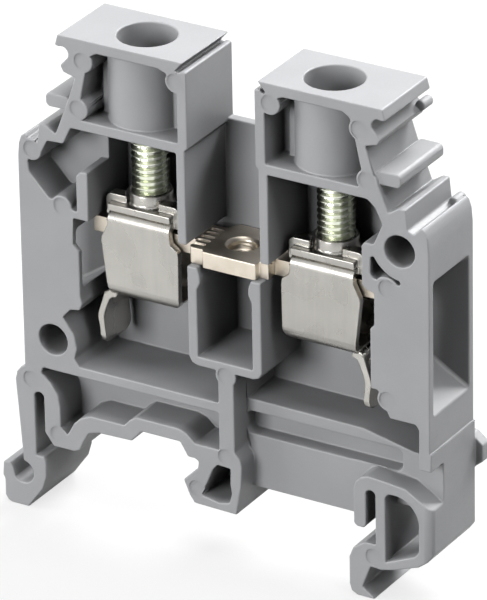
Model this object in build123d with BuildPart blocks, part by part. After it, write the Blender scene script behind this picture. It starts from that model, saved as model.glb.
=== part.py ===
"""Feed-through terminal block for a 35 mm rail, with a rising screw clamp at each end.

X runs from one wire entry to the other, Y runs in from the open front face, and Z is up from the
soles of the rail feet. Sizes are in millimetres.
"""

import os
from build123d import *

os.makedirs("parts", exist_ok=True)

# Moulding: overall
length = 41.8  # between the two wire entry sides
depth = 7.9  # one block on an 8 mm pitch
top_z = 47.9  # top of the screwdriver towers
web = 1.0  # back wall
core_depth = 3.7  # shallow pockets that only lighten the moulding
setback = 2.2  # the base steps back here, over the fixed foot

# Moulding: levels and walls
deck = 1.05  # tower tops
well_depth = 7.8  # down to the tower floor
floor = 1.0  # tower floor, under the screw heads
shoulder_drop = 2.5  # shoulders below the tower floor
bar_drop = 10.7  # underside of the bar below the tower floor
base_drop = 13.8  # underside of the chamber floor below the bar
base_thick = 1.0
gap_half = 3.75  # half of the gap between the towers
mid_x = 0.2  # middle of the gap, the jumper hole and the middle foot
tower_wall = 0.9
post_half = 0.8  # post from the jumper pocket down to the middle foot
gap_rise = 0.9  # back wall between the towers, above the underside of the tower floor

# Rail seat
rail_width = 35.0
rail_play = 0.35
rail_x = -2.325  # the rail's centre line
seat_z = 6.9
lip_gap = 1.4  # takes the edge of a rail 1 to 1.3 thick
foot_reach = 3.7  # elastic foot beyond the rail's edge

# Clamps
clamp_x = 9.5  # from the middle to each screw
axis_back = 3.0  # screw axis to the back wall of the chamber
well_r = 2.7
well_wall = 0.85
head_relief = 0.25  # the well is wider round the head
head_room = 0.5
well_back = 4.15  # radius of the thicker rear part of the well
well_step = 1.2  # it starts this far in front of the screw axis
room_depth = 3.4  # pockets beside the wells

# Screws
screw_r = 1.7  # M3.5, under the thread's crests
head_r = 2.6
head_height = 2.3
slot_width = 0.8
slot_depth = 1.2
thread_gap = 0.05
shank_gap = 0.15
seat_gap = 0.1

# Current bar
bar_thick = 1.6
bar_half = 14.5
arm_width = 3.4
bar_front = 0.3
hub_half = 3.6
ear_half = 4.0
ear_front = 1.0
tongue_left = 2.3
tongue_right = 3.1
jumper_out = 0.5  # jumper hole in front of the screw axis
bar_gap = 0.1  # to the back wall
teeth = 5
tooth_pitch = 0.8
jumper_r = 1.25  # M3 tapping size

# Cages
sheet = 0.7
cage_half = 2.6  # half of the cage's depth
ring_height = 8.65  # up to the inner of the two top layers
cage_bend = 1.0  # top bend
cage_heel = 1.5  # bottom bend
crown_in = 3.35  # half widths from the screw axis, towards the middle (in)
crown_out = 3.1  # and towards the wire (out)
shoulder_in = 4.25
shoulder_out = 3.75
heel_out = 3.2
plate_front = 2.45  # upper layer, in front of the screw axis
tab_front = 1.75  # tabs that lock it down
tab_width = 1.2
tab_reach = 1.6
tab_bend = 0.6
skirt_out = 3.7
collar_r = 2.0
collar_flare = 0.3
collar_height = 1.15  # above the upper layer
collar_gap = 0.2  # from the collar to the tabs
skirt_half = 2.2
skirt_drop = 4.9
skirt_round = 0.9
travel = 4.8
rise_gap = 0.4  # left under the bar with the cage right up

# Wire entries
mouth_wall = 0.8
mouth_sill = 3.6  # above the chamber floor
mouth_height = 13.0
throat_in = 6.3
throat_front = 0.6
throat_back = 0.5
throat_height = 5.0
throat_lap = 0.2  # the throat opens this far above the underside of the bar

# Small features
pad_r = 1.05  # ejector pads
guide_r = 1.5
guide_depth = 4.5
peg_r = 1.35
peg_height = 1.2
foot_pocket = 4.4  # depth of the pocket in the middle foot
edge_round = 0.8  # front corner of the fixed foot
lug_length = 2.5
lug_thick = 1.3
stop_r = 0.48
stop_length = 1.6
stop_out = 0.5  # beyond the back wall
ledge = 0.15  # the base is a little wider than the body
ledge_rise = 1.2
hook_reach = 0.9  # rear hook beyond the side

side = length / 2
hip = side + ledge
web_y = depth - web
axis_y = web_y - axis_back
deck_z = top_z - deck
floor_top = top_z - well_depth
floor_z = floor_top - floor
shoulder_z = floor_z - shoulder_drop
bar_z = floor_z - bar_drop
bar_top = bar_z + bar_thick
base_z = bar_z - base_drop
base_top = base_z + base_thick
ledge_z = base_z + ledge_rise
cage_z = bar_z - rise_gap - travel - sheet
mouth_z = base_top + mouth_sill
throat_z = bar_z + throat_lap - throat_height
rail_left = rail_x - (rail_width + rail_play) / 2
rail_right = rail_x + (rail_width + rail_play) / 2
hook_z = seat_z - lip_gap
well_outer = well_r + well_wall
gap_wall = gap_half + tower_wall

INTO = (0, 1, 0)  # from the open face towards the back wall


def plane_at(y):
    """Drawing plane y behind the open face, seen from the front."""
    return Plane.XZ.offset(-y)


def outline(points, y=0.0):
    """Closed outline seen from the front, drawn y behind the open face."""
    with BuildSketch(plane_at(y)) as sketch:
        with BuildLine():
            Polyline(*points, close=True)
        make_face()
    return sketch.sketch


def lift(share):
    """Level in the base, from the rail seat at 0 to the underside of the chambers at 1."""
    return seat_z + share * (base_z - seat_z)


def tower_outline(hand):
    """Tower and shoulder of one side, with the marker groove and the notched corner."""
    with BuildSketch(plane_at(0)) as sketch:
        with BuildLine():
            rim = Polyline(
                (mid_x, base_z),
                (hand * side, base_z),
                (hand * side, shoulder_z - 1.4),
                (hand * (side - 0.12), shoulder_z - 0.1),
                (hand * (side - 0.35), shoulder_z + 0.6),
                (hand * (side - 0.7), shoulder_z + 0.9),
                (hand * (side - 1.5), shoulder_z + 0.1),
                (hand * (side - 2.1), shoulder_z + 0.4),
                (hand * (side - 2.3), shoulder_z + 2.3),
                (hand * (side - 2.9), shoulder_z + 2.3),
                (hand * (side - 4.0), shoulder_z + 1.6),
                (hand * (clamp_x + 6.1), floor_top + 1.4),
                (hand * (clamp_x + 5.2), deck_z - 2.75),
                (hand * (clamp_x + 6.4), deck_z - 2.45),
                (hand * (clamp_x + 6.7), deck_z - 1.85),
                (hand * (clamp_x + 6.0), deck_z - 1.1),
            )
            groove = ThreePointArc(
                rim @ 1,
                (hand * (clamp_x + 5.95), deck_z - 0.3),
                (hand * (clamp_x + 6.8), deck_z - 0.1),
            )
            Polyline(
                groove @ 1,
                (hand * (clamp_x + 7.2), deck_z),
                (hand * (clamp_x + 6.9), top_z),
                (mid_x + hand * gap_half, top_z),
                (mid_x + hand * (gap_half + 0.9), deck_z),
                (mid_x + hand * (gap_half + 0.55), deck_z - 0.1),
                (mid_x + hand * (gap_half + 0.2), deck_z + 0.25),
                (mid_x + hand * (gap_half - 0.3), deck_z + 0.2),
                (mid_x + hand * (gap_half - 0.3), floor_z + 0.6),
                (mid_x + hand * gap_half, floor_z + 0.4),
                (mid_x + hand * gap_half, bar_z),
                (mid_x, bar_z),
                (mid_x, base_z),
            )
        make_face()
    return sketch.sketch


def left_chamber():
    """Chamber of the left clamp, behind the guide rib and down to the base."""
    rib = -clamp_x - 4.2
    pillar = -side + 5.6
    return outline(
        [
            (rib, floor_z),
            (mid_x - gap_wall, floor_z),
            (mid_x - gap_wall, bar_top + 0.4),
            (mid_x - gap_half, bar_top + 0.4),
            (mid_x - gap_half, base_top + 4.0),
            (mid_x - gap_half + 0.3, base_top + 3.4),
            (mid_x - gap_half + 0.9, base_top + 3.2),
            (mid_x - post_half, base_top + 3.2),
            (mid_x - post_half, base_top),
            (pillar + 0.2, base_top),
            (pillar - 0.3, base_top + 0.7),
            (pillar, base_top + 1.8),
            (pillar - 0.3, base_top + 3.1),
            (pillar - 1.4, base_top + 4.6),
            (pillar - 0.6, base_top + 5.5),
            (pillar + 0.4, base_top + 5.7),
            (pillar + 0.7, base_top + 6.4),
            (pillar + 0.5, base_top + 7.1),
            (pillar + 0.5, bar_z - 1.3),
            (pillar - 0.1, bar_z - 0.7),
            (pillar, bar_top + 0.3),
            (rib, bar_top + 0.3),
        ]
    )


def left_recess():
    """Shallow recess in the left shoulder, outside the guide rib."""
    rib = -clamp_x - 5.4
    return outline(
        [
            (rib, bar_top + 1.0),
            (rib, bar_top + 4.5),
            (rib + 0.4, bar_top + 5.0),
            (rib + 1.3, bar_top + 5.1),
            (rib + 1.3, floor_z),
            (-side + 5.6, floor_z),
            (-side + 4.8, floor_z - 1.7),
            (-side + 3.1, floor_z - 1.8),
            (-side + 2.1, floor_z - 3.7),
            (-side + 1.0, shoulder_z - 1.6),
            (-side + 1.1, shoulder_z - 2.7),
            (-side + 3.1, shoulder_z - 4.8),
        ]
    )


def right_chamber():
    """Chamber of the right clamp, with the bay behind the strip of the end wall."""
    rib = side - 6.7
    return outline(
        [
            (mid_x + gap_wall, floor_z),
            (side - 6.1, floor_z),
            (side - 5.3, floor_z - 0.7),
            (side - 4.6, shoulder_z + 0.4),
            (side - 5.5, shoulder_z - 1.7),
            (rib + 0.3, shoulder_z - 1.7),
            (rib, shoulder_z - 2.1),
            (rib, bar_top + 0.8),
            (rib + 0.4, bar_top + 0.4),
            (side - 5.5, bar_top + 0.2),
            (side - 5.5, bar_z - 1.3),
            (side - 5.9, bar_z - 1.7),
            (side - 5.9, base_top + 5.3),
            (side - 5.2, base_top + 5.3),
            (side - 4.0, base_top + 2.8),
            (side - 1.4, base_top + 2.8),
            (side - 1.1, base_top + 2.3),
            (side - 1.1, base_top - 0.6),
            (side - 2.8, base_top - 1.2),
            (side - 8.0, base_top - 0.1),
            (mid_x + post_half, base_top),
            (mid_x + post_half, base_top + 3.2),
            (mid_x + gap_half - 0.9, base_top + 3.2),
            (mid_x + gap_half - 0.3, base_top + 3.4),
            (mid_x + gap_half, base_top + 4.0),
            (mid_x + gap_half, bar_top + 0.4),
            (mid_x + gap_wall, bar_top + 0.4),
        ]
    )


def jumper_pocket():
    """Pocket under the middle of the bar, with a bead along both sides of its mouth."""
    inner = gap_half - 0.95
    right = [
        (mid_x + inner, base_top + 4.1),
        (mid_x + inner, bar_z - 2.1),
        (mid_x + inner - 0.35, bar_z - 1.4),
        (mid_x + inner - 0.3, bar_z - 0.7),
        (mid_x + inner, bar_z + 0.1),
    ]
    left = [(2 * mid_x - x, z) for x, z in reversed(right)]
    return outline(right + left)


def bridge_outline():
    """Base over the rail, from the elastic foot to the middle foot."""
    return outline(
        [
            (-side, base_top),
            (mid_x, base_top),
            (mid_x, base_top + 3.2),
            (mid_x + post_half, base_top + 3.2),
            (mid_x + post_half, lift(0.532)),
            (mid_x + 1.3, lift(0.455)),
            (mid_x + 1.5, lift(0.377)),
            (mid_x + 1.4, lift(0.104)),
            (mid_x + 0.9, seat_z - 2.1),
            (mid_x - 3.5, seat_z - 2.0),
            (mid_x - 4.0, seat_z - 1.3),
            (mid_x - 4.6, lift(0.013)),
            (mid_x - 3.1, lift(0.208)),
            (mid_x - 3.0, lift(0.299)),
            (mid_x - 3.4, lift(0.325)),
            (mid_x - 4.1, lift(0.325)),
            (mid_x - 4.9, lift(0.494)),
            (rail_left + 11.3, lift(0.494)),
            (rail_left + 10.7, lift(0.403)),
            (rail_left + 10.2, lift(0.338)),
            (rail_left + 6.7, lift(0.325)),
            (rail_left + 5.7, lift(0.286)),
            (rail_left + 5.1, lift(0.156)),
            (rail_left + 4.7, lift(0.039)),
            (rail_left + 4.1, seat_z),
            (rail_left + 1.9, seat_z),
            (rail_left + 1.6, lift(0.052)),
            (rail_left + 1.0, lift(0.156)),
            (rail_left + 1.0, lift(0.87)),
            (-side, lift(0.948)),
        ]
    )


def bridge_pocket():
    """Shallow pocket in the base over the rail."""
    return outline(
        [
            (rail_left + 1.0, base_z),
            (rail_left + 0.8, lift(0.922)),
            (rail_left + 1.7, lift(0.831)),
            (rail_left + 2.5, lift(0.688)),
            (rail_left + 2.7, lift(0.532)),
            (rail_left + 2.7, lift(0.26)),
            (rail_left + 3.4, lift(0.195)),
            (rail_left + 4.1, lift(0.364)),
            (rail_left + 4.8, lift(0.455)),
            (rail_left + 5.9, lift(0.519)),
            (rail_left + 9.5, lift(0.519)),
            (rail_left + 10.0, lift(0.597)),
            (rail_left + 10.7, lift(0.662)),
            (mid_x - 5.1, lift(0.662)),
            (mid_x - 4.2, lift(0.623)),
            (mid_x - 3.3, lift(0.519)),
            (mid_x - post_half, lift(0.519)),
            (mid_x - post_half, base_z),
        ]
    )


def middle_foot_pocket():
    """Pocket in the middle foot, which keeps its walls even."""
    return outline(
        [
            (mid_x - 1.0, lift(0.318)),
            (mid_x + 0.3, lift(0.312)),
            (mid_x + 0.27, lift(0.112)),
            (mid_x + 0.4, seat_z - 0.1),
            (mid_x + 0.15, seat_z - 1.1),
            (mid_x - 0.95, seat_z - 1.35),
            (mid_x - 2.4, seat_z - 1.05),
            (mid_x - 2.8, seat_z - 1.0),
            (mid_x - 2.05, lift(0.065)),
            (mid_x - 1.5, lift(0.239)),
        ]
    )


def elastic_foot():
    """Elastic foot: arch, long leg, hook for the rail's edge and the release lug."""
    leg = rail_left - 1.7
    toe = rail_left - foot_reach
    with BuildSketch(plane_at(0)) as sketch:
        with BuildLine():
            leg_side = Polyline(
                (rail_left + 1.0, lift(0.948)),
                (leg + 0.8, lift(0.974)),
                (leg + 0.3, lift(0.935)),
                (leg - 0.1, lift(0.87)),
                (leg - 0.3, lift(0.766)),
                (leg - 0.2, lift(0.584)),
                (leg + 0.2, hook_z + 0.4),
                (leg + 0.3, hook_z - 0.9),
            )
            bend = ThreePointArc(
                leg_side @ 1, (leg + 1.1, hook_z - 2.7), (leg - 0.7, hook_z - 2.7)
            )
            nose = Polyline(
                bend @ 1,
                (leg - 0.9, hook_z - 1.8),
                (leg - 1.2, hook_z - 1.4),
                (toe + 0.1, hook_z - 1.5),
                (toe, hook_z - 2.9),
                (toe + 0.2, hook_z - 3.2),
                (toe + 0.2, 0.6),
                (toe + 0.5, 0.15),
                (toe + 0.9, 0),
                (leg + 0.7, 0),
                (rail_left + 0.6, hook_z - 3.3),
                (rail_left + 1.0, hook_z - 2.0),
                (rail_left + 1.0, hook_z - 0.5),
                (rail_left + 0.8, hook_z),
                (rail_left, hook_z),
                (rail_left, lift(0.597)),
            )
            slot = ThreePointArc(
                nose @ 1, (rail_left + 0.5, lift(0.597) + 0.5), (rail_left + 1.0, lift(0.597))
            )
            Line(slot @ 1, leg_side @ 0)
        make_face()
    return sketch.sketch


def fixed_foot():
    """Fixed foot on the right: stop finger, loop with its D-shaped window, and hook."""
    with BuildSketch(plane_at(0)) as sketch:
        with BuildLine():
            finger = Polyline(
                (rail_right - 2.2, lift(0.039)),
                (rail_right - 2.2, lift(0.481)),
                (rail_right - 2.0, lift(0.571)),
                (rail_right - 1.5, lift(0.643)),
                (rail_right - 0.7, lift(0.682)),
                (side - 4.2, lift(0.66)),
                (side - 2.5, lift(0.636)),
                (side - 1.3, lift(0.545)),
                (hip, lift(0.416)),
                (hip, seat_z - 1.2),
                (hip - 0.5, seat_z - 1.9),
                (side - 1.2, seat_z - 2.55),
                (side - 3.8, seat_z - 3.5),
                (rail_right + 0.5, seat_z - 3.8),
                (rail_right - 0.5, seat_z - 3.7),
                (rail_right - 1.35, 1.0),
                (rail_right - 0.1, 0),
                (rail_right - 1.9, 0),
                (rail_right - 2.5, 0.3),
                (rail_right - 2.7, 1.0),
                (rail_right - 2.7, hook_z - 1.8),
                (rail_right - 2.3, hook_z - 0.8),
                (rail_right - 1.4, hook_z - 0.2),
                (rail_right - 1.1, hook_z),
                (rail_right, hook_z),
                (rail_right, lift(0.442)),
            )
            slot = ThreePointArc(
                finger @ 1,
                (rail_right - 0.475, lift(0.442) + 0.475),
                (rail_right - 0.95, lift(0.442)),
            )
            Polyline(
                slot @ 1,
                (rail_right - 0.95, lift(0.039)),
                (rail_right - 1.2, seat_z),
                (rail_right - 1.9, seat_z),
                finger @ 0,
            )
        make_face()
        with BuildLine():
            post = Polyline(
                (side - 1.6, seat_z - 1.6),
                (rail_right + 1.0, seat_z - 2.9),
                (rail_right + 1.0, lift(0.455)),
                (rail_right + 1.3, lift(0.506)),
            )
            window = ThreePointArc(
                post @ 1, (side - 2.1, lift(0.442)), (side - 1.2, lift(0.13))
            )
            Polyline(window @ 1, (side - 1.2, seat_z - 1.1), post @ 0)
        make_face(mode=Mode.SUBTRACT)
    return sketch.sketch


def set_back_base():
    """Base on the right, stepped back behind the fixed foot."""
    return outline(
        [
            (mid_x, base_top),
            (side - 8.0, base_top - 0.1),
            (side - 2.8, base_top - 1.2),
            (side - 1.1, base_top - 1.2),
            (side - 1.1, ledge_z),
            (hip, ledge_z),
            (hip, lift(0.26)),
            (rail_right - 0.95, lift(0.26)),
            (rail_right - 2.2, lift(0.078)),
            (rail_right - 2.2, seat_z),
            (mid_x, seat_z),
        ],
        y=setback,
    )


def crescent():
    """Curved pocket that follows the wall round the right guide hole."""
    hole_x, hole_z = guides[1]
    with BuildSketch(plane_at(0)) as sketch:
        with BuildLine():
            upper = ThreePointArc(
                (hole_x - 2.6, hole_z - 1.05), (hole_x - 1.75, hole_z - 2.1), (hole_x, hole_z - 2.9)
            )
            end = Polyline(upper @ 1, (hole_x + 0.05, hole_z - 3.25), (hole_x - 0.25, hole_z - 3.3))
            lower = ThreePointArc(
                end @ 1, (hole_x - 1.35, hole_z - 2.75), (hole_x - 2.35, hole_z - 3.25)
            )
            Polyline(
                lower @ 1,
                (hole_x - 2.75, hole_z - 3.1),
                (hole_x - 2.95, hole_z - 2.7),
                (hole_x - 2.9, hole_z - 1.2),
                upper @ 0,
            )
        make_face()
    return sketch.sketch


def rear_hook():
    """Hook on the back wall, which enters the set-back base of the next block."""
    tip = side + hook_reach
    with BuildSketch(plane_at(depth)) as sketch:
        with BuildLine():
            Polyline(
                (side - 2.3, lift(0.74)),
                (side - 0.3, lift(0.506)),
                (tip, lift(0.636)),
                (tip, lift(0.844)),
                (side - 0.2, lift(0.961)),
                (side - 2.3, lift(0.961)),
                close=True,
            )
        make_face()
        with BuildLine():
            Polyline(
                (side - 1.3, lift(0.753)),
                (side - 0.4, lift(0.662)),
                (side + 0.15, lift(0.753)),
                (side - 0.4, lift(0.831)),
                (side - 1.3, lift(0.844)),
                close=True,
            )
        make_face(mode=Mode.SUBTRACT)
    return sketch.sketch


pads = [
    (-clamp_x - 4.4, deck_z - 1.05),
    (clamp_x + 4.6, deck_z - 1.35),
    (-clamp_x - 5.0, floor_top + 1.0),
    (clamp_x + 5.3, floor_top + 0.7),
    (mid_x - gap_wall + 0.1, deck_z - 0.95),
    (mid_x + gap_wall + 0.3, deck_z - 0.9),
    (-side + 1.4, shoulder_z - 0.5),
    (-side + 4.4, bar_top + 1.2),
    (side - 4.2, bar_top + 0.9),
    (side - 4.2, base_top + 4.5),
    (mid_x, base_top + 2.8),
]
guides = [(-side + 3.1, base_top + 2.1), (side - 2.9, shoulder_z - 1.8)]


def make_housing():
    with BuildPart() as housing:
        # Solid silhouette, open side at Y 0
        for hand in (-1, 1):
            extrude(tower_outline(hand), amount=depth, dir=INTO)
        back_rise = bar_drop + gap_rise
        with Locations((mid_x, depth - web / 2, bar_z + back_rise / 2)):
            Box(2 * gap_half, web, back_rise)
        extrude(bridge_outline(), amount=depth, dir=INTO)
        extrude(elastic_foot(), amount=depth, dir=INTO)
        strip = side - 1.1
        with Locations(((mid_x + post_half + strip) / 2, 0, base_top - 0.4)):
            Box(strip - mid_x - post_half, 2 * setback, 1.8, mode=Mode.SUBTRACT)
        extrude(set_back_base(), amount=depth - setback, dir=INTO)
        extrude(fixed_foot(), amount=depth, dir=INTO)
        corner = (
            housing.edges()
            .filter_by(Axis.Z)
            .filter_by_position(Axis.X, hip - 0.01, hip + 0.01)
            .filter_by_position(Axis.Y, -0.01, 0.01)
        )
        fillet(corner, edge_round)
        post_end = outline(
            [(strip, lift(0.93)), (hip, lift(0.93)), (hip, ledge_z), (strip, ledge_z)]
        )
        extrude(post_end, amount=setback, dir=INTO)

        # Pockets moulded from the open side
        for pocket in (left_chamber(), right_chamber(), jumper_pocket()):
            extrude(pocket, amount=web_y, dir=INTO, mode=Mode.SUBTRACT)
        for pocket in (left_recess(), bridge_pocket()):
            extrude(pocket, amount=core_depth, dir=INTO, mode=Mode.SUBTRACT)
        extrude(middle_foot_pocket(), amount=foot_pocket, dir=INTO, mode=Mode.SUBTRACT)
        with BuildSketch(plane_at(setback)):
            with Locations(((mid_x + post_half + side - 4.0) / 2, base_z - 1.35)):
                RectangleRounded(side - 4.0 - mid_x - post_half, 2.2, 0.6)
        extrude(amount=core_depth - setback, dir=INTO, mode=Mode.SUBTRACT)

        # Towers: shallow room around each driver well, well, floor hole and marker arm
        for hand in (-1, 1):
            wall = mid_x + hand * (gap_wall - 0.2)
            room = outline(
                [
                    (wall, floor_top),
                    (hand * (clamp_x + 5.1), floor_top),
                    (hand * (clamp_x + 3.9), deck_z - 1.2),
                    (hand * (clamp_x + 3.6), deck_z - 0.4),
                    (hand * (clamp_x + 2.9), deck_z),
                    (wall + hand * 1.9, deck_z),
                    (wall + hand * 1.1, deck_z - 0.3),
                    (wall, deck_z - 1.0),
                ]
            )
            extrude(room, amount=room_depth, dir=INTO, mode=Mode.SUBTRACT)
            with BuildSketch(Plane.XY.offset(floor_top)):
                with Locations((hand * clamp_x, axis_y)):
                    Circle(well_outer)
            extrude(amount=top_z - floor_top - 0.1)
            with BuildSketch(Plane.XY.offset(floor_top)):
                with Locations((hand * clamp_x, axis_y)):
                    Circle(well_back)
                with Locations((hand * clamp_x, axis_y - well_step - well_back)):
                    Rectangle(2 * well_back, 2 * well_back, mode=Mode.SUBTRACT)
            extrude(amount=top_z - floor_top - 0.1)
            with Locations((hand * clamp_x, depth + 2, 0)):
                Box(3 * well_back, 4, 3 * top_z, mode=Mode.SUBTRACT)
            with BuildSketch(Plane.XY.offset(floor_top)):
                with Locations((hand * clamp_x, axis_y)):
                    Circle(well_r)
            extrude(amount=top_z - floor_top, mode=Mode.SUBTRACT)
            with BuildSketch(Plane.XY.offset(floor_top)):
                with Locations((hand * clamp_x, axis_y)):
                    Circle(well_r + head_relief)
            extrude(amount=seat_gap + head_height + head_room, mode=Mode.SUBTRACT)
            with BuildSketch(Plane.XY.offset(floor_z)):
                with Locations((hand * clamp_x, axis_y)):
                    Circle(screw_r + shank_gap)
            extrude(amount=floor, mode=Mode.SUBTRACT)
            with BuildSketch(plane_at(0.3)):
                with Locations((hand * (clamp_x + 7.25), floor_top + 1.15)):
                    RectangleRounded(lug_length, lug_thick, 0.45)
            extrude(amount=depth - 0.3, dir=INTO)
            with BuildSketch(plane_at(depth - stop_length + stop_out)):
                with Locations(
                    (hand * (clamp_x + 6.75), deck_z - 1.35), (hand * (side - 1.4), shoulder_z + 0.4)
                ):
                    Circle(stop_r)
            extrude(amount=stop_length, dir=INTO)

        # Ejector pads, as round columns that run back to the wall
        with BuildSketch(plane_at(0)):
            with Locations(*pads):
                Circle(pad_r)
        extrude(amount=depth, dir=INTO)

        # Wire entries and the slots that take the ends of the bar
        for hand in (-1, 1):
            with BuildSketch(Plane.YZ.offset(hand * side)):
                with Locations((depth / 2, mouth_z + mouth_height / 2)):
                    RectangleRounded(depth - 2 * mouth_wall, mouth_height, 0.4)
            with BuildSketch(Plane.YZ.offset(hand * (side - throat_in))):
                with Locations(
                    ((throat_front + web_y - throat_back) / 2, throat_z + throat_height / 2)
                ):
                    RectangleRounded(
                        web_y - throat_back - throat_front, throat_height, 0.4
                    )
            loft(mode=Mode.SUBTRACT)

        # Guide holes, and the pegs behind them that enter the next block's holes
        with BuildSketch(plane_at(0)):
            with Locations(*guides):
                Circle(guide_r)
        extrude(amount=guide_depth, dir=INTO, mode=Mode.SUBTRACT)
        extrude(crescent(), amount=web_y, dir=INTO, mode=Mode.SUBTRACT)
        with BuildSketch(plane_at(depth)):
            with Locations(*guides):
                Circle(peg_r)
        extrude(amount=peg_height, dir=INTO)
        extrude(rear_hook(), amount=peg_height, dir=INTO)
    return housing.part


def make_bar():
    """Stamped current bar: wide tapped middle, shoulders and two narrow arms."""
    back = web_y - bar_gap
    with BuildPart() as bar:
        with BuildSketch(Plane.XY.offset(bar_z)):
            with Locations((0, axis_y)):
                Rectangle(2 * bar_half, arm_width)
            with BuildLine():
                Polyline(
                    (mid_x - tongue_left, bar_front),
                    (mid_x + tongue_right, bar_front),
                    (mid_x + tongue_right, ear_front),
                    (mid_x + ear_half, ear_front),
                    (mid_x + ear_half, axis_y + arm_width / 2),
                    (mid_x + tongue_right, back - 1.1),
                    (mid_x + tongue_right - 0.8, back),
                    (mid_x - tongue_left, back),
                    (mid_x - hub_half + 0.7, back - 1.1),
                    (mid_x - ear_half, axis_y + arm_width / 2),
                    (mid_x - ear_half, ear_front),
                    (mid_x - ear_half + 0.3, ear_front - 0.3),
                    (mid_x - tongue_left - 0.2, ear_front - 0.3),
                    close=True,
                )
            make_face()
        extrude(amount=bar_thick)
        with Locations((mid_x, axis_y - jumper_out, bar_top)):
            Hole(jumper_r)
        chamfer(bar.edges().filter_by(GeomType.CIRCLE).group_by(Axis.Z)[-1], 0.3)
        # Grip serrations sheared into the top of both necks
        for hand in (-1, 1):
            for index in range(teeth):
                with Locations(
                    (
                        mid_x + hand * (ear_half - 0.55),
                        ear_front + (index + 0.75) * tooth_pitch,
                        bar_top,
                    )
                ):
                    Box(1.3, tooth_pitch / 2, 0.5, mode=Mode.SUBTRACT)
    return bar.part


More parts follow.
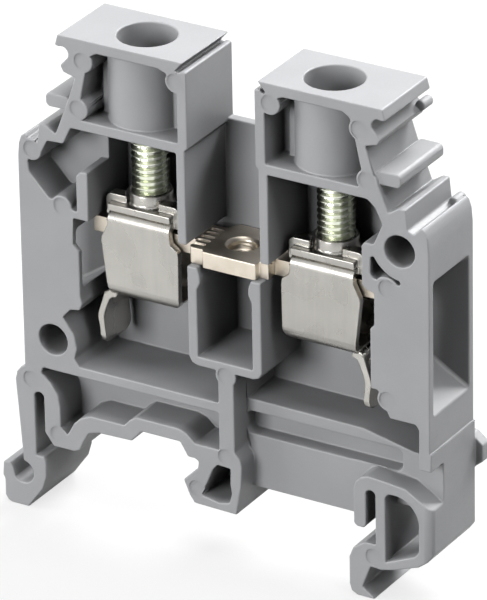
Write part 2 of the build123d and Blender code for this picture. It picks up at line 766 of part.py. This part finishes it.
def make_cage(hand):
    """Rising cage bent from one strip, open towards the wire; its collar carries the thread."""
    at = hand * clamp_x
    ring_top = cage_z + ring_height
    with BuildPart() as cage:
        # Strip seen along X: front and back walls, floor and inner top layer
        for grow, mode in ((0, Mode.ADD), (-sheet, Mode.SUBTRACT)):
            with BuildSketch(Plane.YZ.offset(at)) as section:
                with Locations((axis_y, cage_z + ring_height / 2)):
                    Rectangle(2 * (cage_half + grow), ring_height + 2 * grow)
                fillet(section.vertices().group_by(Axis.Y)[0], cage_heel + grow)
                fillet(section.vertices().group_by(Axis.Y)[-1], cage_bend + grow)
            extrude(amount=shoulder_in + 0.1, both=True, mode=mode)
        # Flank shape of the strip, cut through from front to back
        flank = [
            (-shoulder_in + 1.6, cage_z - 0.1),
            (-shoulder_in + 0.85, cage_z + 0.15),
            (-shoulder_in + 0.25, cage_z + 0.8),
            (-shoulder_in + 0.05, cage_z + 1.3),
            (-shoulder_in, ring_top - 2.9),
            (-shoulder_in + 0.1, ring_top - 2.4),
            (-crown_in - 0.1, ring_top - 1.9),
            (-crown_in, ring_top - 1.3),
            (-crown_in, ring_top + 0.1),
            (crown_out, ring_top + 0.1),
            (crown_out, ring_top - 1.35),
            (shoulder_out - 0.05, ring_top - 2.6),
            (shoulder_out, ring_top - 3.0),
            (heel_out, cage_z + 1.0),
            (heel_out - 0.05, cage_z - 0.1),
        ]
        extrude(
            outline([(at + hand * u, z) for u, z in flank]),
            amount=depth, dir=INTO, mode=Mode.INTERSECT,
        )
        # Upper layer, folded over from the back wall, and the tabs that lock it down
        plate_top = ring_top + sheet
        plate_y = axis_y - plate_front
        with Locations((at + hand * (crown_out - crown_in) / 2, (plate_y + axis_y + 2.3) / 2,
                        ring_top + sheet / 2)):
            Box(crown_in + crown_out, axis_y + 2.3 - plate_y, sheet)
        for edge in (-crown_in, crown_out):
            away = 1 if edge > 0 else -1
            with BuildSketch(plane_at(axis_y - tab_front)) as tab:
                middle = edge + away * (tab_bend - tab_reach) / 2
                with Locations((at + hand * middle, ring_top + sheet / 2)):
                    Rectangle(tab_reach + tab_bend - 0.1, 2 * sheet + 0.7)
                outer = tab.vertices().group_by(Axis.X)[-1 if away * hand > 0 else 0]
                fillet(outer.group_by(Axis.Y)[-1], tab_bend)
            extrude(amount=tab_width, dir=INTO)
        with BuildSketch(Plane.XY.offset(plate_top)):
            with Locations((at, axis_y)):
                Circle(collar_r + collar_gap)
        extrude(amount=2 * sheet, mode=Mode.SUBTRACT)
        # Collar drawn up out of the upper layer, with its flare
        rim = plate_top + collar_height
        with BuildSketch(plane_at(axis_y)):
            with BuildLine():
                flare = ThreePointArc(
                    (at + collar_r + collar_flare, plate_top),
                    (at + collar_r + 0.09, plate_top + 0.09),
                    (at + collar_r, plate_top + collar_flare),
                )
                Polyline(flare @ 1, (at + collar_r, rim), (at, rim), (at, plate_top), flare @ 0)
            make_face()
        revolve(axis=Axis((at, axis_y, 0), (0, 0, 1)))
        with BuildSketch(Plane.XY.offset(ring_top - sheet)):
            with Locations((at, axis_y)):
                Circle(screw_r + thread_gap)
        extrude(amount=rim - ring_top + sheet, mode=Mode.SUBTRACT)
        # Skirt under the entry side, which keeps a wire from passing below the cage
        edge = hand * (clamp_x + skirt_out)
        with BuildSketch(plane_at(axis_y - skirt_half)):
            with BuildLine():
                outer = Spline(
                    (edge - hand * 0.7, cage_z + sheet),
                    (edge + hand * 0.4, cage_z - 0.5),
                    (edge + hand * 0.85, cage_z - 2.0),
                    (edge + hand * 0.75, cage_z - skirt_drop),
                    tangents=[(hand, 0), (hand * 0.15, -1)],
                )
                foot = Line(outer @ 1, (edge + hand * 0.1, cage_z - skirt_drop))
                inner = Spline(
                    foot @ 1,
                    (edge + hand * 0.2, cage_z - 2.1),
                    (edge - hand * 0.2, cage_z - 0.8),
                    (edge - hand * 1.1, cage_z),
                    tangents=[(-hand * 0.15, 1), (-hand, 0)],
                )
                Polyline(inner @ 1, (edge - hand * 1.1, cage_z + sheet), outer @ 0)
            make_face()
        extrude(amount=2 * skirt_half, dir=INTO)
        with BuildSketch(Plane.YZ.offset(at)):
            with Locations((axis_y, cage_z - skirt_drop)):
                Rectangle(2 * skirt_half + 1, 2 * skirt_round)
            with Locations((axis_y, cage_z - skirt_drop + skirt_half)):
                RectangleRounded(
                    2 * skirt_half, 2 * skirt_half, skirt_round, mode=Mode.SUBTRACT
                )
        extrude(amount=2 * shoulder_in, both=True, mode=Mode.SUBTRACT)
    return cage.part


def make_screw(hand):
    """Slotted clamping screw; its head stays in the well and its tip stands over the bar."""
    with BuildPart() as screw:
        with BuildSketch(Plane.XY.offset(bar_top + seat_gap)):
            with Locations((hand * clamp_x, axis_y)):
                Circle(screw_r)
        extrude(amount=floor_top - bar_top)
        chamfer(screw.faces().sort_by(Axis.Z)[0].edges(), 0.4)
        with BuildSketch(Plane.XY.offset(floor_top + seat_gap)):
            with Locations((hand * clamp_x, axis_y)):
                Circle(head_r)
        extrude(amount=head_height)
        chamfer(screw.faces().sort_by(Axis.Z)[-1].edges(), 0.25)
        with Locations((hand * clamp_x, axis_y, floor_top + seat_gap + head_height)):
            Box(2 * head_r + 1, slot_width, 2 * slot_depth, mode=Mode.SUBTRACT)
    return screw.part


# The block stands with the middle of its outer box over the origin
left_end = rail_left - foot_reach
right_end = side + hook_reach
centre = Pos(-(left_end + right_end) / 2, -(depth + peg_height) / 2, 0)
pieces = {"housing": make_housing(), "current_bar": make_bar()}
for hand, name in ((-1, "left"), (1, "right")):
    pieces["cage_" + name] = make_cage(hand)
    pieces["screw_" + name] = make_screw(hand)
for name, piece in pieces.items():
    placed = piece.moved(centre)
    placed.label = name
    export_step(placed, f"parts/{name}.step")
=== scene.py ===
"""Looks of the feed-through terminal block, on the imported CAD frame. Metres."""

import math

import bmesh
import bpy
from mathutils import Matrix, Vector
from mathutils.bvhtree import BVHTree
from mathutils.geometry import delaunay_2d_cdt


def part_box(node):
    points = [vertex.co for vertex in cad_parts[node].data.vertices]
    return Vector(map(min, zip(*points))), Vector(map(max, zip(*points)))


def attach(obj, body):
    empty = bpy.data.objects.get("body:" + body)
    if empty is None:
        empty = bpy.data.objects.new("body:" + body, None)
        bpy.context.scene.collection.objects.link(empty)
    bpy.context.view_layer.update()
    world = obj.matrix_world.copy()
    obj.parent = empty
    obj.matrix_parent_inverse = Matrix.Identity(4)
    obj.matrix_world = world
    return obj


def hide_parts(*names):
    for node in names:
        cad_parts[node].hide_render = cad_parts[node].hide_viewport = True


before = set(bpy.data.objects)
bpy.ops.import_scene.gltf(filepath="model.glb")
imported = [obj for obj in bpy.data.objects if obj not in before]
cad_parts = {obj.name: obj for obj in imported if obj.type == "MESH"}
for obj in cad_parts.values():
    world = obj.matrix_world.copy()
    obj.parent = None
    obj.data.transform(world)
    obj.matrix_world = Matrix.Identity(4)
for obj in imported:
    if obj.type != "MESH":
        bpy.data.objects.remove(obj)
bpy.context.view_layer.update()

MM = 0.001
WHITE = (1, 1, 1, 1)

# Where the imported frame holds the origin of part.py, which lies in the open side, in millimetres
MODEL_X, MODEL_Y = 0.95, -4.55

# Rounding of the edges
MOULDING_EDGE = 0.14 * MM
BAR_EDGE = 0.10 * MM
STRIP_EDGE = 0.10 * MM
HEAD_EDGE = 0.08 * MM

# Ejector pins: one left its mark on each pad, and more did on the base and feet. The places are
# x and z from the origin of part.py, in millimetres
PIN_RADIUS = 0.85 * MM
PIN_DEPTH = 0.13 * MM
PIN_MARKS = [
    (-13.9, 45.8), (14.1, 45.5), (-14.5, 41.1), (14.8, 40.8), (-4.35, 45.9), (5.15, 45.95),
    (-19.5, 36.1), (-16.5, 31.2), (16.7, 30.9), (16.7, 20.1), (0.2, 18.4),
    (0.1, 10.3), (-3.0, 6.4), (-20.3, 13.1), (-17.6, 8.2), (15.15, 4.2),
]

# Jumper hole: x and y from the origin of part.py, in millimetres, and the depth of its countersink
HOLE_X, HOLE_Y = 0.2, 3.4
COUNTERSINK = 0.3 * MM

# Cages
HEEL_RADIUS = 1.5 * MM
HEEL_TO_TOP = 10.5 * MM  # from the underside of the heel, which the skirt hangs below

# Screws
HEAD_HEIGHT = 2.3 * MM
NECK_LENGTH = 0.55 * MM
CORE_RADIUS = 1.36 * MM
TIP_RADIUS = 0.95 * MM
TIP_LENGTH = 0.4 * MM

# Threads: the radius at the crest and at the root, and the pitch
SCREW_THREAD = {"crest": 1.72 * MM, "root": 1.35 * MM, "pitch": 0.6 * MM}
JUMPER_THREAD = {"crest": 1.06 * MM, "root": 1.25 * MM, "pitch": 0.5 * MM}


# Nodes

def nodes_of(name):
    mat = bpy.data.materials.new(name)
    mat.use_nodes = True
    tree = mat.node_tree
    return mat, tree, tree.nodes["Principled BSDF"]


def plug(tree, value, socket):
    """Links another node's output to a socket, or sets the socket to a plain value."""
    if isinstance(value, bpy.types.NodeSocket):
        tree.links.new(value, socket)
    else:
        socket.default_value = value


def add(tree, kind, inputs=None, **settings):
    """New node with its settings, and with inputs plugged by name or number."""
    node = tree.nodes.new(kind)
    for name, value in settings.items():
        setattr(node, name, value)
    for key, value in (inputs or {}).items():
        plug(tree, value, node.inputs[key])
    return node


def maths(tree, operation, *terms):
    node = add(tree, "ShaderNodeMath", dict(enumerate(terms)), operation=operation)
    return node.outputs["Value"]


def coords(tree, stretch=(1, 1, 1)):
    place = add(tree, "ShaderNodeTexCoord").outputs["Object"]
    mapping = add(tree, "ShaderNodeMapping", {"Vector": place, "Scale": stretch})
    return mapping.outputs["Vector"]


def noise(tree, vector, scale, detail, rough):
    node = add(tree, "ShaderNodeTexNoise",
               {"Vector": vector, "Scale": scale, "Detail": detail, "Roughness": rough})
    return node.outputs["Fac"]


def ramp(tree, fac, stops):
    """Soft colour ramp through stops of (position, colour)."""
    node = add(tree, "ShaderNodeValToRGB", {"Fac": fac})
    node.color_ramp.interpolation = "EASE"
    elements = node.color_ramp.elements
    while len(elements) < len(stops):
        elements.new(0.5)
    for element, (at, colour) in zip(elements, stops):
        element.position = at
        element.color = (*colour, 1)
    return node.outputs["Color"]


def spread(tree, fac, low, high):
    """Turns the middle of a noise's range softly into values from low to high."""
    node = add(tree, "ShaderNodeMapRange",
               {"Value": fac, "From Min": 0.3, "From Max": 0.7, "To Min": low, "To Max": high},
               interpolation_type="SMOOTHSTEP")
    return node.outputs["Result"]


def bump(tree, shader, layers):
    """Layers of (height, strength, distance), each laid over the one before."""
    normal = None
    for height, strength, distance in layers:
        node = add(tree, "ShaderNodeBump",
                   {"Height": height, "Strength": strength, "Distance": distance})
        if normal is not None:
            plug(tree, normal, node.inputs["Normal"])
        normal = node.outputs["Normal"]
    plug(tree, normal, shader.inputs["Normal"])


def mix_colour(tree, factor, first, second):
    """The first colour where the factor is 0, and the second where it is 1."""
    node = add(tree, "ShaderNodeMix", {"Factor": factor}, data_type="RGBA")
    colour_sockets = [socket for socket in node.inputs if socket.type == "RGBA"]
    for value, socket in zip((first, second), colour_sockets):
        plug(tree, value, socket)
    return next(socket for socket in node.outputs if socket.type == "RGBA")


# Materials

def polyamide():
    """Moulded grey plastic, slightly cloudy, with a fine grain in its gloss and relief."""
    mat, tree, shader = nodes_of("grey_polyamide")
    where = coords(tree)
    cloud = noise(tree, where, scale=160, detail=4, rough=0.55)
    grain = noise(tree, where, scale=4200, detail=4, rough=0.6)
    fine = noise(tree, where, scale=9000, detail=2, rough=0.5)
    dark, light = (0.395, 0.400, 0.412), (0.425, 0.430, 0.442)
    plug(tree, ramp(tree, cloud, [(0.3, dark), (0.7, light)]), shader.inputs["Base Color"])
    plug(tree, spread(tree, grain, 0.42, 0.54), shader.inputs["Roughness"])
    bump(tree, shader, [(grain, 0.08, 0.03 * MM), (fine, 0.05, 0.01 * MM)])
    return mat


def plated(name, dark, light, rough, stretch, scale, line_depth):
    """Plated metal, slightly cloudy, with rolling lines along the axes stretched least."""
    mat, tree, shader = nodes_of(name)
    lines = noise(tree, coords(tree, stretch), scale, detail=4, rough=0.6)
    cloud = noise(tree, coords(tree), scale=260, detail=3, rough=0.5)
    cloud_share = 0.6
    faint_lines = maths(tree, "MULTIPLY", lines, 1 - cloud_share)
    tone = maths(tree, "MULTIPLY_ADD", cloud, cloud_share, faint_lines)
    plug(tree, ramp(tree, tone, [(0.35, dark), (0.65, light)]), shader.inputs["Base Color"])
    plug(tree, spread(tree, cloud, *rough), shader.inputs["Roughness"])
    shader.inputs["Metallic"].default_value = 1.0
    bump(tree, shader, [(lines, line_depth, 0.01 * MM)])
    return mat


plastic = polyamide()
cage_metal = plated("zinc_plated_strip", dark=(0.385, 0.374, 0.349), light=(0.425, 0.413, 0.385),
                    rough=(0.23, 0.35), stretch=(10, 10, 1), scale=160, line_depth=0.04)
bar_metal = plated("tinned_copper", dark=(0.54, 0.485, 0.40), light=(0.66, 0.60, 0.52),
                   rough=(0.31, 0.43), stretch=(1, 14, 1), scale=500, line_depth=0.25)
screw_metal = plated("bright_zinc", dark=(0.64, 0.67, 0.55), light=(0.80, 0.82, 0.72),
                     rough=(0.19, 0.31), stretch=(1, 1, 1), scale=900, line_depth=0.1)


# Meshes. The look of a piece is (body, slot, material)

def place_object(name, data):
    obj = bpy.data.objects.new(name, data)
    bpy.context.scene.collection.objects.link(obj)
    return obj


def mesh_object(name, verts, faces):
    mesh = bpy.data.meshes.new(name)
    mesh.from_pydata(verts, [], faces)
    mesh.update()
    return place_object(name, mesh)


def mesh_piece(name, verts, faces, look):
    body, slot, material = look
    obj = mesh_object(name, verts, faces)
    obj.data.materials.append(material)
    obj.data.shade_smooth()
    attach(obj, body)
    return obj


def apply_modifiers(obj):
    graph = bpy.context.evaluated_depsgraph_get()
    mesh = bpy.data.meshes.new_from_object(obj.evaluated_get(graph))
    obj.modifiers.clear()
    obj.data = mesh


def circle(radius, sides):
    angles = [2 * math.pi * step / sides for step in range(sides)]
    return [(radius * math.cos(angle), radius * math.sin(angle)) for angle in angles]


def lathe(name, axis, rings, look):
    """Turned piece through rings of (radius, z), from its lower end up."""
    sides = 64
    verts, faces = [], []
    for radius, z in rings:
        verts += [(axis[0] + x, axis[1] + y, z) for x, y in circle(radius, sides)]
    last = (len(rings) - 1) * sides
    for low in range(0, last, sides):
        high = low + sides
        for step in range(sides):
            following = (step + 1) % sides
            faces.append((low + step, low + following, high + following, high + step))
    faces.append(tuple(range(sides))[::-1])
    faces.append(tuple(range(last, last + sides)))
    mesh_piece(name, verts, faces, look)


def thread(name, axis, low, high, look, crest, root, pitch):
    """Thread between two heights that runs out at both ends; a tapped one has crest < root."""
    steps = 40  # to a turn
    run_out = 0.6 * steps
    # Share of the pitch, and radius there
    profile = [(0.0, root), (0.16, root), (0.42, crest), (0.54, crest), (0.80, root)]
    count = len(profile)
    order = 1 if crest > root else -1
    total = int((high - low) / pitch * steps)
    verts, faces = [], []
    for step in range(total + 1):
        turn = step / steps
        angle = 2 * math.pi * turn
        fade = min(1.0, step / run_out, (total - step) / run_out)
        for along, radius in profile:
            r = root + (radius - root) * fade
            z = min(max(low + (turn + along - 1.0) * pitch, low), high)
            verts.append((axis[0] + r * math.cos(angle), axis[1] + r * math.sin(angle), z))
    for step in range(total):
        a = step * count
        b = a + count
        quads = [(a + k, b + k, b + k + 1, a + k + 1) for k in range(count - 1)]
        if step + steps < total:
            c = a + steps * count
            quads.append((a + count - 1, b + count - 1, c + count, c))
        faces += [quad[::order] for quad in quads]
    obj = mesh_piece(name, verts, faces, look)
    obj.data.set_sharp_from_angle(angle=math.radians(25))


def cut_pin_marks(obj, places, front):
    """Shallow round marks that the ejector pins left in the side that lies at y front."""
    reach = 0.5 * MM  # how far the cutting discs stand out of that side
    sides = 40
    verts, faces = [], []
    for x, z in places:
        first = len(verts)
        for y in (front - reach, front + PIN_DEPTH):
            verts += [(x + across, y, z + up) for across, up in circle(PIN_RADIUS, sides)]
        ring = [first + step for step in range(sides)]
        faces.append(tuple(ring))
        faces.append(tuple(k + sides for k in reversed(ring)))
        for step in range(sides):
            a, b = ring[step], ring[(step + 1) % sides]
            faces.append((b, a, a + sides, b + sides))
    pins = mesh_object("pins", verts, faces)
    cut = obj.modifiers.new("pins", "BOOLEAN")
    cut.operation = "DIFFERENCE"
    cut.solver = "EXACT"
    cut.object = pins
    apply_modifiers(obj)
    bpy.data.objects.remove(pins)


# Rounding of the CAD nodes

QUAD = 4
SAME_PLACE = 0.002 * MM
FLAT = math.radians(0.7)  # facets that meet at less are one face
ROUNDED = math.radians(32)  # edges that turn by more are rounded
SHARP = math.radians(48)  # edges that turn by more are shaded as sharp
OVERSHOOT = 0.6  # most that a corner may leave the surface, as a share of the rounding


def refill(work):
    """Fills each large face anew, as the rounding can make its outline cross itself."""
    polygons, triangles = 5, 1  # output types of delaunay_2d_cdt
    close = 1e-5  # millimetres
    for face in [face for face in work.faces if len(face.verts) > QUAD]:
        verts = face.verts[:]
        turn = face.normal.to_track_quat("Z", "Y").to_matrix()
        flat = [turn.transposed() @ vert.co / MM for vert in verts]
        outline = list(range(len(flat)))
        for kind in (polygons, triangles):
            places, _, parts, origins, _, _ = delaunay_2d_cdt(
                [point.xy for point in flat], [], [outline], kind, close)
            if all(len(set(part)) == len(part) for part in parts):
                break
        corners = [verts[origin[0]] if origin else
                   work.verts.new(turn @ Vector((*place, flat[0].z)) * MM)
                   for place, origin in zip(places, origins)]
        normal = face.normal.copy()
        work.faces.remove(face)
        for part in parts:
            ring = [corners[k] for k in part]
            if len(set(ring)) == len(ring) > 2 and work.faces.get(ring) is None:
                made = work.faces.new(ring)
                made.normal_update()
                if made.normal.dot(normal) < 0:
                    made.normal_flip()


def hold_to_surface(obj, surface, slack):
    """Brings corners that overshot in the rounding back to the sharp solid's surface."""
    work = bmesh.new()
    work.from_mesh(obj.data)
    for vert in work.verts:
        place, _, _, away = surface.find_nearest(vert.co)
        if away > slack:
            vert.co = place
    refill(work)
    astray = [face for face in work.faces if len(face.verts) <= QUAD
              and surface.find_nearest(face.calc_center_median())[3] > slack]
    bmesh.ops.delete(work, geom=astray, context="FACES")
    work.to_mesh(obj.data)
    work.free()


def press_heel(work, centre, radius):
    """Squares the lower bend of a cage up and leans the strip in below the press line."""
    squareness, lean = 0.7, 0.35
    close = 0.001 * MM
    outside = 1.02 * radius
    for vert in work.verts:
        y, z = centre.y - vert.co.y, centre.z - vert.co.z
        reach = math.hypot(y, z)
        if y > -close and z > close and reach < outside:
            turn = math.atan2(z, y)
            y = reach * max(math.cos(turn), 0) ** squareness - lean * z
            z = reach * math.sin(turn) ** squareness
            vert.co.y, vert.co.z = centre.y - y, centre.z - z


def whole_faces(mesh, above, heel):
    """Joins the facets of a CAD mesh, cut or pressed where asked, and returns its surface."""
    work = bmesh.new()
    work.from_mesh(mesh)
    bmesh.ops.remove_doubles(work, verts=work.verts, dist=SAME_PLACE)
    if above is not None:
        bmesh.ops.bisect_plane(work, geom=work.verts[:] + work.edges[:] + work.faces[:],
                               plane_co=(0, 0, above), plane_no=(0, 0, 1), clear_inner=True)
        bmesh.ops.holes_fill(work, edges=[edge for edge in work.edges if edge.is_boundary])
    bmesh.ops.dissolve_limit(work, angle_limit=FLAT, verts=work.verts, edges=work.edges)
    if heel is not None:
        press_heel(work, *heel)
    surface = BVHTree.FromBMesh(work)
    work.to_mesh(mesh)
    work.free()
    return surface


def round_edges(obj, width, segments):
    edge = obj.modifiers.new("round", "BEVEL")
    edge.width = width
    edge.segments = segments
    edge.limit_method = "ANGLE"
    edge.angle_limit = ROUNDED
    edge.use_clamp_overlap = False
    edge.miter_outer = "MITER_ARC"
    apply_modifiers(obj)


def shade(obj, heel):
    """Smooth faces between sharp edges, with the press line of a cage's heel among these."""
    mesh = obj.data
    mesh.shade_smooth()
    mesh.set_sharp_from_angle(angle=SHARP)
    if heel is not None:
        press_line = heel[0].z
        heights = [vert.co.z for vert in mesh.vertices]
        for edge in mesh.edges:
            if all(abs(heights[k] - press_line) < 0.02 * MM for k in edge.vertices):
                edge.use_edge_sharp = True
    weigh = obj.modifiers.new("weigh", "WEIGHTED_NORMAL")
    weigh.keep_sharp = True
    apply_modifiers(obj)


def rounded(node, name, look, width, segments=2, marks=(), above=None, heel=None):
    """Copy of a CAD node with its edges rounded, in place of the sharp one."""
    body, slot, material = look
    obj = place_object(name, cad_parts[node].data.copy())
    obj.data.materials.clear()
    obj.data.materials.append(material)
    surface = whole_faces(obj.data, above, heel)
    round_edges(obj, width, segments)
    hold_to_surface(obj, surface, OVERSHOOT * width)
    if marks:
        cut_pin_marks(obj, marks, front=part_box(node)[0][1])
    shade(obj, heel)
    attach(obj, body)
    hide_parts(node)


# Pieces

def housing():
    """The moulding, with the marks of the ejector pins."""
    marks = [((x + MODEL_X) * MM, z * MM) for x, z in PIN_MARKS]
    rounded("housing", "housing_moulding", ("block", "housing", plastic), MOULDING_EDGE,
            segments=3, marks=marks)


def current_bar():
    """The stamped bar, and the M3 thread between its underside and the countersink."""
    look = ("block", "current_bar", bar_metal)
    rounded("current_bar", "bar_stamping", look, BAR_EDGE)
    low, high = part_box("current_bar")
    hole = ((HOLE_X + MODEL_X) * MM, (HOLE_Y + MODEL_Y) * MM)
    bottom = low[2] + 0.02 * MM  # just inside the hole
    thread("jumper_thread", hole, bottom, high[2] - COUNTERSINK, look, **JUMPER_THREAD)


def cage(hand):
    """The bent strip, pressed square at its heel."""
    node = "cage_" + hand
    low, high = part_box(node)
    heel_centre = Vector((0, low[1] + HEEL_RADIUS, high[2] - HEEL_TO_TOP + HEEL_RADIUS))
    rounded(node, node + "_strip", (node, "cage", cage_metal), STRIP_EDGE,
            heel=(heel_centre, HEEL_RADIUS))


def screw(hand):
    """The slotted head with a short neck, and under it a turned core with its M3.5 thread."""
    node = "screw_" + hand
    look = (node, "screw", screw_metal)
    low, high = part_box(node)
    centre = ((low[0] + high[0]) / 2, (low[1] + high[1]) / 2)
    neck = high[2] - HEAD_HEIGHT - NECK_LENGTH
    rounded(node, node + "_head", look, HEAD_EDGE, above=neck)
    core_top = neck + 0.1 * MM  # core and thread both end inside the neck
    thread_low, thread_top = low[2] + 0.35 * MM, neck + 0.05 * MM
    core = [(TIP_RADIUS, low[2]), (CORE_RADIUS, low[2] + TIP_LENGTH), (CORE_RADIUS, core_top)]
    lathe(node + "_core", centre, core, look)
    thread(node + "_thread", centre, thread_low, thread_top, look, **SCREW_THREAD)


housing()
current_bar()
for hand in ("left", "right"):
    cage(hand)
    screw(hand)


# Stage, light and camera

def stage_floor():
    """Floor that keeps a faint shadow, as it glows only in part to the camera and shiny faces."""
    camera_share, glossy_share = 0.75, 0.35
    half, below = 4.0, 0.02 * MM
    corners = [(-half, -half, 0), (half, -half, 0), (half, half, 0), (-half, half, 0)]
    floor = mesh_object("floor", corners, [(0, 1, 2, 3)])
    floor.location.z = -below
    mat, tree, shader = nodes_of("floor_white")
    floor.data.materials.append(mat)
    shader.inputs["Base Color"].default_value = (0.9, 0.9, 0.9, 1)
    shader.inputs["Roughness"].default_value = 0.9
    path = add(tree, "ShaderNodeLightPath")
    glow = add(tree, "ShaderNodeEmission", {"Color": WHITE, "Strength": 1.0})
    glossy = maths(tree, "MULTIPLY", path.outputs["Is Glossy Ray"], glossy_share)
    share = maths(tree, "MULTIPLY_ADD", path.outputs["Is Camera Ray"], camera_share, glossy)
    mix = add(tree, "ShaderNodeMixShader",
              {0: share, 1: shader.outputs["BSDF"], 2: glow.outputs["Emission"]})
    plug(tree, mix.outputs["Shader"], tree.nodes["Material Output"].inputs["Surface"])


def world_light():
    """White to the camera, a faint grey fill, and to shiny faces a tent, brightest overhead."""
    fill, low, level, overhead = ((grey, grey, grey) for grey in (0.04, 0.25, 0.42, 1))
    world = bpy.data.worlds.new("world")
    bpy.context.scene.world = world
    world.use_nodes = True
    tree = world.node_tree
    path = add(tree, "ShaderNodeLightPath")
    where = add(tree, "ShaderNodeTexCoord")
    split = add(tree, "ShaderNodeSeparateXYZ", {"Vector": where.outputs["Generated"]})
    height = add(tree, "ShaderNodeMapRange",
                 {"Value": split.outputs["Z"], "From Min": -0.2, "From Max": 1.0})
    tent = ramp(tree, height.outputs["Result"], [(0.0, low), (0.35, level), (0.6, overhead)])
    unseen = mix_colour(tree, path.outputs["Is Glossy Ray"], (*fill, 1), tent)
    colour = mix_colour(tree, path.outputs["Is Camera Ray"], unseen, WHITE)
    plug(tree, colour, tree.nodes["Background"].inputs["Color"])


def lamp(name, watts, size, place):
    """Soft lamp that faces the middle of the block."""
    middle = Vector((0, 0, 0.024))
    data = bpy.data.lights.new(name, "AREA")
    data.energy = watts
    data.shape = "RECTANGLE"
    data.size, data.size_y = size
    obj = place_object(name, data)
    obj.location = place
    obj.rotation_euler = (middle - Vector(place)).to_track_quat("-Z", "Y").to_euler()


def photo_camera():
    """Camera that puts the anchor, a point of the open side, at its pixel of the photograph."""
    photo_width, photo_height = 487, 600
    sensor_width = 36
    azimuth, elevation, roll = (math.radians(angle) for angle in (31.3, 26.2, 1.05))
    focal = 7000.0  # pixels
    scale = 11.4  # pixels to a millimetre at the anchor
    anchor = Vector((0.45 + MODEL_X, MODEL_Y, 27)) * MM
    anchor_column, anchor_row = 226, 290
    forward = Vector((-math.sin(azimuth) * math.cos(elevation),
                      math.cos(azimuth) * math.cos(elevation), -math.sin(elevation)))
    level_right = Vector((math.cos(azimuth), math.sin(azimuth), 0))
    level_down = forward.cross(level_right)
    right = level_right * math.cos(roll) + level_down * math.sin(roll)
    down = -level_right * math.sin(roll) + level_down * math.cos(roll)
    offset = Vector(((anchor_column - photo_width / 2) / scale,
                     (anchor_row - photo_height / 2) / scale, focal / scale)) * MM
    place = anchor - right * offset.x - down * offset.y - forward * offset.z
    data = bpy.data.cameras.new("camera")
    data.sensor_fit = "HORIZONTAL"
    data.sensor_width = sensor_width
    data.lens = focal / photo_width * sensor_width
    data.clip_start = 0.05
    data.clip_end = 20
    camera = place_object("camera", data)
    turn = Matrix((right, -down, -forward)).transposed()
    camera.matrix_world = Matrix.Translation(place) @ turn.to_4x4()
    bpy.context.scene.camera = camera


stage_floor()
world_light()
lamp("front", watts=4.8, size=(0.4, 0.4), place=(-0.20, -0.80, 0.25))
lamp("left", watts=3.2, size=(0.4, 0.4), place=(-0.75, -0.30, 0.30))
lamp("right", watts=0.5, size=(0.4, 0.4), place=(0.75, -0.30, 0.30))
lamp("high_right", watts=2.4, size=(0.4, 0.4), place=(0.60, -0.05, 0.62))
lamp("over", watts=2.0, size=(0.5, 0.5), place=(0.0, -0.05, 0.9))
lamp("back", watts=9.4, size=(0.5, 0.3), place=(0.1, 0.60, 0.60))
photo_camera()

# Without bounced light the pockets are as dark as in the photograph
bpy.context.scene.cycles.diffuse_bounces = 0
bpy.context.scene.view_settings.view_transform = "Standard"
